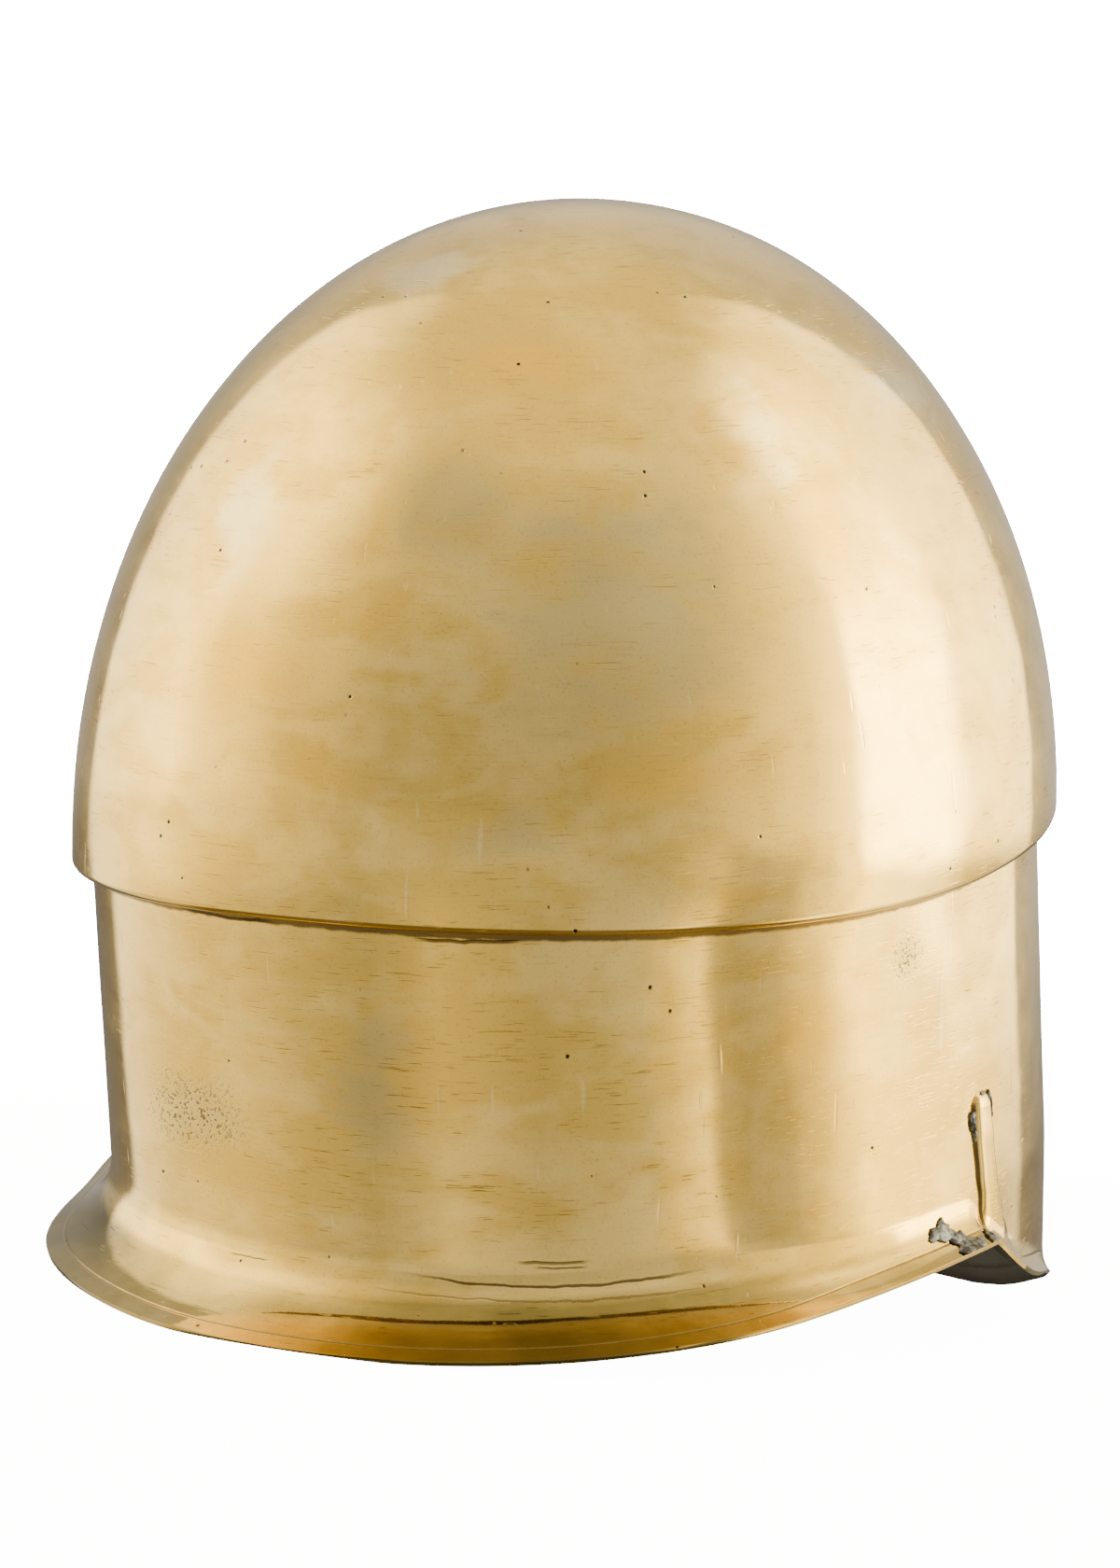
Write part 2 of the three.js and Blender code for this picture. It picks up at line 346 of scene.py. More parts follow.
# ---- Shader nodes ---------------------------------------------------------------------------


class Value:
    """A number that varies over a surface: a node's socket, with arithmetic."""

    def __init__(self, nodes: "Nodes", socket: bpy.types.NodeSocket) -> None:
        """Wraps a socket of a material being built."""
        self.nodes = nodes
        self.socket = socket

    def _math(self, operation: str, *parts: "Value | float") -> "Value":
        """A Math node on these parts."""
        node = self.nodes.add("Math", {"operation": operation}, *parts)
        return Value(self.nodes, node.outputs[0])

    def __add__(self, other: "Value | float") -> "Value":
        """self + other"""
        return self._math("ADD", self, other)

    __radd__ = __add__

    def __sub__(self, other: "Value | float") -> "Value":
        """self - other"""
        return self._math("SUBTRACT", self, other)

    def __rsub__(self, other: float) -> "Value":
        """other - self"""
        return self._math("SUBTRACT", other, self)

    def __mul__(self, other: "Value | float") -> "Value":
        """self * other"""
        return self._math("MULTIPLY", self, other)

    __rmul__ = __mul__

    def __truediv__(self, other: "Value | float") -> "Value":
        """self / other"""
        return self._math("DIVIDE", self, other)

    def __pow__(self, other: float) -> "Value":
        """self to the power other"""
        return self._math("POWER", self, other)

    def __abs__(self) -> "Value":
        """The size of self, without its sign."""
        return self._math("ABSOLUTE", self)

    def most(self, other: "Value | float") -> "Value":
        """The greater of self and other."""
        return self._math("MAXIMUM", self, other)

    def between(self, low: float, high: float) -> "Value":
        """0 below low, 1 above high, and a smooth rise between; low may be above high."""
        settings = {"interpolation_type": "SMOOTHSTEP"}
        if low < high:
            node = self.nodes.add("MapRange", settings, self, low, high, 0.0, 1.0)
        else:
            node = self.nodes.add("MapRange", settings, self, high, low, 1.0, 0.0)
        return Value(self.nodes, node.outputs[0])


@dataclass(frozen=True)
class Grain:
    """Soft noise: its rounds a metre, its detail and how far it is distorted."""

    scale: float
    detail: float
    distortion: float = 0.0


class Nodes:
    """Builds the nodes of one material, or of the room."""

    mix_share, mix_start, mix_end, mix_result = 0, 6, 7, 2

    def __init__(self, owner: bpy.types.Material | bpy.types.World) -> None:
        """Starts from no nodes."""
        owner.use_nodes = True
        self.tree = owner.node_tree
        self.tree.nodes.clear()

    def surface(self, **inputs: object) -> None:
        """Ends the material in a Principled shader.

        Args:
            **inputs: Values or links of its sockets by name, with _ for a space.
        """
        shader = self.add("BsdfPrincipled", {}, **inputs)
        self.add("OutputMaterial", {}, Surface=shader.outputs[0])

    def surface_of_two(self, share: Value, first: dict, second: dict, **both: object) -> None:
        """Ends the material in a mix of two Principled shaders.

        Args:
            share: How much of the second one.
            first: The first one's own sockets.
            second: The second one's own sockets.
            **both: The sockets that they share.
        """
        clear = self.add("BsdfPrincipled", {}, **first, **both).outputs[0]
        hazy = self.add("BsdfPrincipled", {}, **second, **both).outputs[0]
        mixed = self.add("MixShader", {}, share, clear, hazy)
        self.add("OutputMaterial", {}, Surface=mixed.outputs[0])

    def add(self, kind: str, settings: dict, *places: object, **named: object) -> bpy.types.Node:
        """Adds a node.

        Args:
            kind: The node's type, without its ShaderNode prefix.
            settings: Its settings, which are set before its sockets; "stops" fills a ramp.
            *places: Values or links of its sockets, in order. None leaves one alone.
            **named: Values or links of its sockets by name, with _ for a space.

        Returns:
            The node.
        """
        node = self.tree.nodes.new("ShaderNode" + kind)
        for key, setting in settings.items():
            if key == "stops":
                self._fill(node.color_ramp, setting)
            else:
                setattr(node, key, setting)
        for socket, value in zip(node.inputs, places):
            self._set(socket, value)
        for key, value in named.items():
            self._set(node.inputs[key.replace("_", " ")], value)
        return node

    def _fill(self, ramp: bpy.types.ColorRamp, stops: Sequence[tuple[float, tuple]]) -> None:
        """Gives a ramp its stops."""
        while len(ramp.elements) < len(stops):
            ramp.elements.new(1.0)
        for element, (position, color) in zip(ramp.elements, stops):
            element.position = position
            element.color = (*color, 1.0)

    def _set(self, socket: bpy.types.NodeSocket, value: object) -> None:
        """Links or sets one socket."""
        if value is None:
            return
        if isinstance(value, Value):
            self.tree.links.new(value.socket, socket)
        elif isinstance(value, bpy.types.NodeSocket):
            self.tree.links.new(value, socket)
        elif socket.type == "RGBA" and len(value) == 3:
            socket.default_value = (*value, 1.0)
        else:
            socket.default_value = value

    def value(self, node: bpy.types.Node, output: int | str = 0) -> Value:
        """One output of a node, with arithmetic."""
        return Value(self, node.outputs[output])

    def polar(self, place: object) -> tuple[Value, Value]:
        """A place's angle round from +Y towards -X, in radians, and its height.

        Args:
            place: The place, or a direction.

        Returns:
            The angle and the height.
        """
        parts = self.add("SeparateXYZ", {}, place)
        across, along, up = (self.value(parts, i) for i in range(3))
        angle = self.add("Math", {"operation": "ARCTAN2"}, 0 - across, along)
        return self.value(angle), up

    def turned(self, place: object, scale: tuple, turn: tuple = (0.0, 0.0, 0.0)) -> object:
        """A place turned and scaled, for a pattern that runs one way."""
        return self.add("Mapping", {}, Vector=place, Rotation=turn, Scale=scale).outputs[0]

    def attribute(self, name: str) -> Value:
        """A number stored on the mesh's points."""
        node = self.add("Attribute", {"attribute_name": name, "attribute_type": "GEOMETRY"})
        return self.value(node, "Fac")

    def noise(self, where: object, grain: Grain) -> Value:
        """Soft noise from 0 to 1."""
        kind = {"Scale": grain.scale, "Detail": grain.detail, "Distortion": grain.distortion}
        return self.value(self.add("TexNoise", {}, Vector=where, **kind), "Fac")

    def mix(self, share: object, start: object, end: object) -> bpy.types.NodeSocket:
        """A colour a share of the way from start to end."""
        node = self.add("Mix", {"data_type": "RGBA"})
        self._set(node.inputs[self.mix_share], share)
        self._set(node.inputs[self.mix_start], start)
        self._set(node.inputs[self.mix_end], end)
        return node.outputs[self.mix_result]

    def bump(self, height: Value, strength: float, distance: float, below: object = None) -> object:
        """A Bump node on a height, on top of another."""
        node = self.add("Bump", {}, Strength=strength, Distance=distance, Height=height)
        self._set(node.inputs["Normal"], below)
        return node.outputs[0]


# ---- Finishes -------------------------------------------------------------------------------


class Finish:
    """A material that is made once and given to pieces."""

    name = "finish"

    def material(self) -> bpy.types.Material:
        """The Blender material, made on first use."""
        found = bpy.data.materials.get(self.name)
        if found:
            return found
        made = bpy.data.materials.new(self.name)
        self.dress(Nodes(made))
        return made

    def dress(self, nodes: Nodes) -> None:
        """Builds the nodes."""
        raise NotImplementedError


@dataclass(frozen=True)
class Patch:
    """A patch of the surface: its angle in degrees and height in mm, and its reach each way."""

    angle: float
    height: float
    half_angle: float
    half_height: float


@dataclass(frozen=True)
class Stroke:
    """A thin dark line round the helmet, whose ends rise above its middle."""

    angle: float
    height: float
    half_angle: float
    rise: float
    width: float
    depth: float = 0.85


@dataclass(frozen=True)
class PolishedBrass(Finish):
    """Old brass, polished by hand: clouded, brushed round the helmet and lightly pitted."""

    stand: Stand
    name: str = "polished_brass"
    pale: Triple = (0.91, 0.64, 0.185)
    deep: Triple = (0.76, 0.505, 0.10)
    golden: Triple = (0.84, 0.51, 0.06)
    dull: Triple = (0.58, 0.44, 0.17)
    # Pale: scratches, patches of frosting, and a painted highlight in the patch near the crown's
    # top.
    frost_and_highlight: Triple = (0.95, 0.78, 0.42)
    # Painted shade laid over the flare, for the wall's darker reflection in it.
    painted_flare_shade: Triple = (0.17, 0.132, 0.04)
    # Brown of brush marks and grain, and of grime with painted shade.
    brown: Triple = (0.16, 0.105, 0.035)
    black: Triple = (0.035, 0.026, 0.016)
    clear_roughness: float = 0.045
    hazy_roughness: float = 0.20
    haze: float = 0.20
    swell: Grain = Grain(24, 2)
    clouds: Grain = Grain(14, 3, 0.6)
    wisps: Grain = Grain(30, 6, 0.8)
    wear: Grain = Grain(40, 4, 0.8)
    pit_groups: Grain = Grain(60, 2)
    mottle: Grain = Grain(170, 5, 0.3)
    # Breaks up the grime and painted shade in the hollows.
    soil_and_shade_noise: Grain = Grain(240, 4)
    specks: Grain = Grain(1000, 3)
    grain: Grain = Grain(1500, 3)
    brushing: Grain = Grain(1, 4)
    scoring: Grain = Grain(1, 1)
    tone_span: Pair = (0.43, 0.58)
    dash_span: Pair = (0.64, 0.76)
    dash_breaks: Pair = (0.40, 0.6)
    scratch_span: Pair = (0.71, 0.80)
    pit_span: Pair = (0.07, 0.035)
    pit_group_span: Pair = (0.48, 0.53)
    speck_span: Pair = (0.53, 0.62)
    # Where the grime and painted shade in the hollows begins and is full.
    soil_and_shade_span: Pair = (0.25, 0.75)
    brush_span: Pair = (0.05, 0.3)
    grain_span: Pair = (0.04, 0.25)
    streak_scale: Triple = (1.0, 1.0, 2.2)
    brush_scale: Triple = (110, 110, 1900)
    dash_scale: Triple = (130, 130, 2600)
    scratch_scale: Triple = (420, 420, 40)
    scratch_turn: Triple = (0.9, 0.5, 0.4)
    pit_scale: float = 110
    line_wander: float = 1.2
    patch_edge: Pair = (1.3, 0.2)
    golden_patches: tuple[Patch, ...] = (
        *(Patch(-8, 157, 7, 13), Patch(18, 223, 15, 8), Patch(54, 69, 5, 12)),
        *(Patch(62, 178, 5, 18), Patch(36, 133, 8, 8)),
    )
    dull_patches: tuple[Patch, ...] = (
        *(Patch(33, 168, 14, 28), Patch(21, 122, 6, 7), Patch(12.7, 193, 7, 12)),
        *(Patch(7, 60, 5, 18), Patch(150, 160, 14, 22), Patch(-120, 60, 12, 16)),
    )
    # Pale patches of frosting; the first, near the crown's top, is a painted highlight.
    frost_and_highlight_patches: tuple[Patch, ...] = (
        *(Patch(-6, 243, 12, 6), Patch(54, 204, 7, 12), Patch(-14, 190, 5, 18)),
        *(Patch(-80, 180, 10, 16), Patch(100, 215, 12, 10)),
    )
    pitted_patches: tuple[Patch, ...] = (
        *(Patch(-16, 46, 8, 12), Patch(70, 82, 3.2, 6), Patch(-130, 150, 8, 9)),
    )
    # Where the painted shade on the flare is deepest.
    flare_shade_patches: tuple[Patch, ...] = (Patch(23, 3, 27, 60), Patch(-42, 6, 24, 60))
    # The first two strokes are painted shade along the crease where the wall turns out into the
    # flare; the rest are thin dark marks on the flare and under the step.
    strokes: tuple[Stroke, ...] = (
        Stroke(25.3, 12.9, 16.8, 2.4, 0.55),
        Stroke(24.0, 9.9, 19.5, 1.6, 0.30, 0.5),
        Stroke(25.0, 18.2, 4.2, 0.2, 0.45, 0.7),
        Stroke(25.8, 17.0, 3.0, 0.1, 0.28, 0.7),
        Stroke(-8.5, 13.6, 3.0, 0.2, 0.28, 0.7),
        Stroke(-9.0, 96.4, 7.0, 0.5, 0.60),
        Stroke(17.0, 95.2, 6.0, 0.3, 0.55),
    )

    def spread(self, nodes: Nodes, flat: object, ragged: Value, patches: Sequence) -> Value:
        """How much a point is in any of some patches, whose edges are ragged.

        Args:
            nodes: The material's nodes.
            flat: The vector of the surface's angle and height.
            ragged: What moves the edges in and out.
            patches: The patches.

        Returns:
            0 outside them, rising to 1 inside.
        """
        total = None
        for patch in patches:
            local = nodes.add(
                "Mapping",
                {"vector_type": "TEXTURE"},
                Vector=flat,
                Location=(patch.angle, patch.height, 0),
                Scale=(patch.half_angle, patch.half_height, 1),
            )
            away = nodes.add("VectorMath", {"operation": "LENGTH"}, local.outputs[0])
            inside = (nodes.value(away, "Value") + ragged).between(*self.patch_edge)
            total = inside if total is None else total.most(inside)
        return total

    def drawn(self, angle: Value, height: Value, wander: Value) -> Value:
        """How much a point is on any of the strokes.

        Args:
            angle: The surface's angle in degrees.
            height: Its height in mm.
            wander: What moves a stroke up and down, in mm.

        Returns:
            0 off them, rising to each one's depth.
        """
        total = None
        for stroke in self.strokes:
            along = (angle - stroke.angle) / stroke.half_angle
            off = abs(height + wander - stroke.height - along * along * stroke.rise)
            mask = off.between(stroke.width, stroke.width * 0.3) * abs(along).between(1.0, 0.6)
            mask = mask * stroke.depth
            total = mask if total is None else total.most(mask)
        return total

    def dress(self, nodes: Nodes) -> None:
        """Builds the nodes: clouds, brushing, pits, strokes, grime and painted shade."""
        where = nodes.add("TexCoord", {}).outputs["Object"]
        upright = {"Rotation": (self.stand.lean, 0, 0), "Location": self.stand.upright_shift}
        here = nodes.add("Mapping", {}, Vector=where, **upright).outputs[0]
        turn, up = nodes.polar(here)
        angle, height = turn * DEGREES, up / MM
        flat = nodes.add("CombineXYZ", {}, angle, height).outputs[0]

        # The grain of the metal, from coarse to fine.
        streaks = nodes.turned(here, self.streak_scale)
        clouds = nodes.noise(here, self.clouds)
        wisps = nodes.noise(streaks, self.wisps)
        worn = nodes.noise(streaks, self.wear) - 0.5
        mottle = nodes.noise(here, self.mottle)
        grain = nodes.noise(here, self.grain)
        brush = nodes.noise(nodes.turned(here, self.brush_scale), self.brushing)
        dashes = nodes.noise(nodes.turned(here, self.dash_scale), self.scoring)
        dashes = dashes.between(*self.dash_span) * wisps.between(*self.dash_breaks)
        scored = nodes.turned(here, self.scratch_scale, self.scratch_turn)
        scratch = nodes.noise(scored, self.scoring).between(*self.scratch_span)

        # Patches, whose edges follow the grain.
        ragged = (wisps - 0.5) * 2.6 + (mottle - 0.5) * 0.8
        golden = self.spread(nodes, flat, ragged, self.golden_patches)
        dull = self.spread(nodes, flat, ragged, self.dull_patches)
        frost_and_highlight_share = self.spread(nodes, flat, ragged, self.frost_and_highlight_patches)
        pitted = self.spread(nodes, flat, ragged * 0.5, self.pitted_patches)
        deepest_flare_shade = self.spread(nodes, flat, (mottle - 0.5) * 0.5, self.flare_shade_patches)

        # Pits, specks and lines, which are dark and sunk in, and grime and painted shade in the
        # hollows.
        pits = nodes.add("TexVoronoi", {"feature": "F1"}, Vector=here, Scale=self.pit_scale)
        spot = nodes.value(pits, "Distance").between(*self.pit_span)
        spot = spot * nodes.noise(here, self.pit_groups).between(*self.pit_group_span)
        speckle = nodes.noise(here, self.specks).between(*self.speck_span) * pitted
        # Thin dark lines; the two along the flare's crease are painted shade.
        line = self.drawn(angle, height, (mottle - 0.5) * self.line_wander)
        dark = spot.most(speckle * 0.8).most(line).most(dashes * 0.35)
        # Grime with painted shade, from the marks kept on the mesh, broken up by noise.
        soil = nodes.attribute("soil") + (nodes.noise(here, self.soil_and_shade_noise) - 0.5) * 0.7
        soil = soil.between(*self.soil_and_shade_span)
        # Painted shade on the flare, for the wall's darker reflection in it, deepest in its
        # patches.
        painted_flare_shade = nodes.attribute("flare") * (0.52 + deepest_flare_shade * 0.43 + (wisps - 0.5) * 0.5)

        tone = (clouds * 0.40 + wisps * 0.45 + mottle * 0.15).between(*self.tone_span)
        colour = nodes.mix(tone, self.pale, self.deep)
        coats = (
            (golden * 0.75, self.golden),
            ((dull * 0.75).most(pitted * 0.5), self.dull),
            # Pale scratches and patches, with a painted highlight near the crown's top.
            ((frost_and_highlight_share * 0.75).most(scratch * 0.3), self.frost_and_highlight),
            ((brush - 0.5).between(*self.brush_span) * 0.2, self.brown),
            ((grain - 0.5).between(*self.grain_span) * 0.25, self.brown),
            # Painted shade on the flare.
            (painted_flare_shade, self.painted_flare_shade),
            # Grime with painted shade in the hollows and under the crown's lip.
            (soil, self.brown),
            (dark, self.black),
        )
        for share, coat in coats:
            colour = nodes.mix(share, colour, coat)

        normal = nodes.bump(nodes.noise(here, self.swell), 0.22, 0.0020)
        normal = nodes.bump(brush, 0.10, 0.00005, normal)
        normal = nodes.bump(grain, 0.08, 0.00004, normal)
        normal = nodes.bump(1 - dark - scratch * 0.2, 0.5, 0.0002, normal)
        nodes.surface_of_two(
            self.haze + worn * 0.9 + soil * 0.3 + dull * 0.10,
            {"Roughness": self.clear_roughness + (brush - 0.5) * 0.03 + soil * 0.3},
            {"Roughness": self.hazy_roughness + worn * 0.12},
            Base_Color=colour,
            Metallic=1.0,
            Normal=normal,
        )


@dataclass(frozen=True)
class BlackenedBrass(Finish):
    """The inside, left dark and rough."""

    name: str = "blackened_brass"
    dark: Triple = (0.010, 0.008, 0.007)
    worn: Triple = (0.035, 0.026, 0.018)
    mottle: Grain = Grain(60, 5, 0.5)
    fine: Grain = Grain(420, 3)

    def dress(self, nodes: Nodes) -> None:
        """Builds the nodes: a mottled dark coat."""
        here = nodes.add("TexCoord", {}).outputs["Object"]
        mottle = nodes.noise(here, self.mottle)
        fine = nodes.noise(here, self.fine)
        colour = nodes.mix(mottle.between(0.45, 0.75), self.dark, self.worn)
        rough = 0.5 + mottle * 0.25
        normal = nodes.bump(mottle, 0.4, 0.001)
        normal = nodes.bump(fine, 0.3, 0.0002, normal)
        nodes.surface(Base_Color=colour, Roughness=rough, Metallic=0.2, Normal=normal)


@dataclass(frozen=True)
class GreySolder(Finish):
    """Old solder: dull grey, lumpy."""

    name: str = "grey_solder"
    light: Triple = (0.20, 0.215, 0.24)
    dark: Triple = (0.045, 0.047, 0.052)
    mottle: Grain = Grain(600, 4)

    def dress(self, nodes: Nodes) -> None:
        """Builds the nodes: grey blotches."""
        here = nodes.add("TexCoord", {}).outputs["Object"]
        mottle = nodes.noise(here, self.mottle)
        colour = nodes.mix(mottle.between(0.42, 0.6), self.light, self.dark)
        normal = nodes.bump(mottle, 0.5, 0.0004)
        nodes.surface(Base_Color=colour, Roughness=0.45, Metallic=0.7, Normal=normal)


# ---- Making pieces --------------------------------------------------------------------------


class Layer(Enum):
    """The materials of a sheet piece, in slot order."""

    OUTSIDE = 0
    INSIDE = 1


class Side(Enum):
    """The wearer's side a piece is on, with the sign of its angles."""

    RIGHT = 1
    LEFT = -1


def new_object(name: str, bm: bmesh.types.BMesh, finishes: Sequence[Finish]) -> bpy.types.Object:
    """Makes an object from a bmesh, at the origin.

    Args:
        name: The piece's name.
        bm: Its mesh, which is freed.
        finishes: Its materials, in slot order.

    Returns:
        The object, linked to the scene.
    """
    mesh = bpy.data.meshes.new(name)
    bm.to_mesh(mesh)
    bm.free()
    for finish in finishes:
        mesh.materials.append(finish.material())
    made = bpy.data.objects.new(name, mesh)
    bpy.context.scene.collection.objects.link(made)
    return made


def settle(made: bpy.types.Object, sharp_angle: float) -> None:
    """Applies a piece's modifiers and shades it smooth, apart from its sharp edges.

    Args:
        made: The piece.
        sharp_angle: The angle in degrees above which an edge stays sharp.
    """
    graph = bpy.context.evaluated_depsgraph_get()
    finished = bpy.data.meshes.new_from_object(made.evaluated_get(graph))
    made.modifiers.clear()
    made.data = finished
    finished.polygons.foreach_set("use_smooth", [True] * len(finished.polygons))
    finished.set_sharp_from_angle(angle=math.radians(sharp_angle))


def set_down(made: bpy.types.Object, stand: Stand) -> None:
    """Leans a finished piece onto its stand, with nothing of it below the table."""
    made.data.transform(stand.matrix)
    for vertex in made.data.vertices:
        vertex.co.z = max(vertex.co.z, 0.0)
    made.data.update()


@dataclass
class BrassShell:
    """The helmet's shell: crown, step, wall, flare and face opening, in one sheet."""

    form: HelmetForm
    finishes: tuple[Finish, ...]
    name: str = "brass_shell"
    stations: int = 288
    notch_station: int = 74
    crown_rows: int = 48
    edge_rows: int = 7
    wall_rows: int = 26
    crease_ways: tuple[float, ...] = (0, 0.4, 1.0, 1.6, 2.2, 2.8, 3.6, 5, 8)
    rim_ways: tuple[float, ...] = (
        *(30, 27, 24.5, 22.5, 20.5, 18.7, 17, 15.4, 13.8, 12.2, 10.6, 9.1, 7.7, 6.5, 5.8, 5.4),
        *(5.15, 4.9, 4.5, 3.6, 2.6, 1.7, 1.0, 0.5, 0),
    )
    line_way: float = 5.15
    line_depth: float = 0.16
    line_spread: float = 0.3
    # Grime with painted shade below the crease, under the crown's lip and on the ledge, and
    # darkening in and round the incised line.
    crease_soil: float = 1.2
    crease_fade: float = 2.3
    lip_soil: float = 48
    ledge_soil: float = 0.45
    dent_depth: float = 0.40
    dent_size: float = 42.0
    dent_fineness: float = 0.4
    dent_fine_share: float = 0.25
    fold_reach: float = 2.0
    crown_gather: float = 0.9
    # Painted shade on the flare, for the wall's darker reflection in it: it spreads where the flare
    # is wide and fills its lower part.
    unshaded_flare: float = 4
    flare_fade: float = 6
    flare_shade_top: float = 0.45
    flare_shade_fade: float = 0.14
    line_reach: float = 0.05
    line_soil: float = 0.35
    cutter_start: float = 0.2
    wall_sharp: float = 40
    bevel: float = 0.3
    bevel_angle: float = 55
    edge_sharp: float = 50

    def angle_of(self, station: float) -> float:
        """The angle of a station round the shell, with one station right at each notch."""
        side = 1 if station >= 0 else -1
        half = self.stations / 2
        notch = math.radians(self.form.notch_angle)
        if abs(station) <= self.notch_station:
            return side * notch * abs(station) / self.notch_station
        share = (abs(station) - self.notch_station) / (half - self.notch_station)
        return side * lerp(notch, math.pi, share)

    def column(self, angle: float) -> list[tuple[Vector, float, float, bool]]:
        """The outside's points at an angle, from the top down.

        Args:
            angle: Angle round from the back, in radians.

        Returns:
            Each point with its grime and painted shade, its painted shade on the flare as a
            share, and whether it lies in the incised line.
        """
        form = self.form
        made = []
        for i in range(self.crown_rows + 1):
            latitude = 90 * (1 - i / self.crown_rows) ** self.crown_gather
            made.append((form.crown(angle, latitude), 0.0, 0.0, False))
        for i in range(1, self.edge_rows + 1):
            turn = 90 * i / self.edge_rows
            # Grime with painted shade on the underside of the crown's lip.
            soil = smooth((turn - self.lip_soil) / (90 - self.lip_soil))
            soil = self.ledge_soil if i == self.edge_rows else soil
            made.append((form.crown_edge(angle, turn), soil, 0.0, False))
        drop = Drop(form, angle)
        edge = form.edge(angle)
        spread = smooth((edge.flare - self.unshaded_flare) / self.flare_fade)
        ways = list(self.crease_ways)
        start, end = ways[-1], drop.length - self.rim_ways[0]
        ways += [lerp(start, end, i / self.wall_rows) for i in range(1, self.wall_rows)]
        ways += [drop.length - way for way in self.rim_ways]
        for way in ways:
            above = drop.length - way
            in_line = abs(above - self.line_way) < self.line_reach
            # Grime with painted shade just below the crease, and darkening in and round the incised
            # line.
            soil = 1 - smooth((way - self.crease_soil) / self.crease_fade)
            soil = self.ledge_soil if way == 0 else soil
            if abs(above - self.line_way) < self.line_spread:
                soil = 1.0 if in_line else self.line_soil
            point = drop.below_crease(way)
            up = (point.z - edge.height) / edge.depth
            # Painted shade on the lower part of a wide flare.
            low = 1 - smooth((up - self.flare_shade_top) / self.flare_shade_fade)
            made.append((point, soil, low * spread, in_line))
        return made

    def drum(self, rows: int) -> bmesh.types.BMesh:
        """A plain drum of as many rows and stations as the shell has, to be pressed to form."""
        bm = bmesh.new()
        points = [bm.verts.new((0, 1, -row)) for row in range(rows)]
        strip = [bm.edges.new(pair) for pair in zip(points, points[1:])]
        axis = {"cent": (0, 0, 0), "axis": (0, 0, 1), "dvec": (0, 0, 0)}
        bmesh.ops.spin(
            bm, geom=points + strip, angle=math.tau, steps=self.stations, use_merge=True, **axis
        )
        return bm

    def press(self) -> bmesh.types.BMesh:
        """Presses a drum to the shell's outside, with its groove and its slight dents.

        Returns:
            The open outside sheet, upright.
        """
        half = self.stations // 2
        columns = {k: self.column(self.angle_of(k)) for k in range(-half + 1, half + 1)}
        bm = self.drum(len(columns[0]))
        # Grime with painted shade, kept on the points.
        soil = bm.verts.layers.float.new("soil")
        # Painted shade on the flare, as a share, kept on the points.
        flare = bm.verts.layers.float.new("flare")
        line = bm.verts.layers.float.new("line")
        for vert in bm.verts:
            row = round(-vert.co.z)
            turn = math.atan2(-vert.co.x, vert.co.y) / math.tau * self.stations
            station = round(turn)
            if station == -half:
                station = half
            vert.co, vert[soil], vert[flare], vert[line] = columns[station][row]
        bmesh.ops.remove_doubles(bm, verts=bm.verts, dist=1e-4)
        bmesh.ops.recalc_face_normals(bm, faces=bm.faces)
        bm.normal_update()
        self.dent(bm, line)
        bm.verts.layers.float.remove(line)
        return bm

    def dent(self, bm: bmesh.types.BMesh, line: bmesh.types.BMLayerItem) -> None:
        """Presses in the incised line and the unevenness of hand-raised sheet.

        Args:
            bm: The outside sheet.
            line: The layer that marks the incised line's points.
        """
        for vert in bm.verts:
            wave = noise.noise(vert.co / self.dent_size) * 0.5 + 0.5
            fine = noise.noise(vert.co / (self.dent_size * self.dent_fineness)) * 0.5 + 0.5
            share = self.dent_fine_share
            depth = self.dent_depth * (wave * (1 - share) + fine * share)
            vert.co -= vert.normal * (depth + self.line_depth * vert[line])

    def mend(self, made: bpy.types.Object, outside: Sequence[tuple[Vector, Vector]]) -> None:
        """Lays the wall's points back one sheet deep where a tight fold threw them far off.

        Args:
            made: The shell, with its wall.
            outside: The outside's points and normals, before the wall was given.
        """
        count = len(outside)
        for i, vertex in enumerate(made.data.vertices):
            point, normal = outside[i % count]
            if (vertex.co - point).length > self.fold_reach * self.form.sheet:
                vertex.co = point - normal * self.form.sheet
        made.data.update()

    def face_cutter(self) -> bpy.types.Object:
        """The tool that cuts the eyes, the slots beside the nasal and the gap below it."""
        outline = FaceOpening().outline()
        bm = bmesh.new()
        start = -self.form.front_length * self.cutter_start
        points = [bm.verts.new((x, start, z)) for x, z in outline]
        face = bm.faces.new(points)
        pulled = bmesh.ops.extrude_face_region(bm, geom=[face])
        far = [v for v in pulled["geom"] if isinstance(v, bmesh.types.BMVert)]
        bmesh.ops.translate(bm, verts=far, vec=(0, -self.form.front_length, 0))
        bmesh.ops.recalc_face_normals(bm, faces=bm.faces)
        return new_object("face_cutter", bm, self.finishes)

    def build(self, stand: Stand) -> bpy.types.Object:
        """Makes the shell and sets it on its stand.

        Args:
            stand: The stand.

        Returns:
            The finished piece.
        """
        made = new_object(self.name, self.press(), self.finishes)
        wall = made.modifiers.new("wall", "SOLIDIFY")
        wall.thickness = self.form.sheet
        wall.offset = -1
        wall.use_even_offset = True
        wall.material_offset = Layer.INSIDE.value
        outside = [(vertex.co.copy(), vertex.normal.copy()) for vertex in made.data.vertices]
        settle(made, self.wall_sharp)
        self.mend(made, outside)
        cutter = self.face_cutter()
        cut = made.modifiers.new("face", "BOOLEAN")
        cut.operation = "DIFFERENCE"
        cut.solver = "EXACT"
        cut.object = cutter
        settle(made, self.wall_sharp)
        bpy.data.objects.remove(cutter)
        soft = made.modifiers.new("edges", "BEVEL")
        soft.width = self.bevel
        soft.segments = 2
        soft.limit_method = "ANGLE"
        soft.angle_limit = math.radians(self.bevel_angle)
        settle(made, self.edge_sharp)
        set_down(made, stand)
        return made


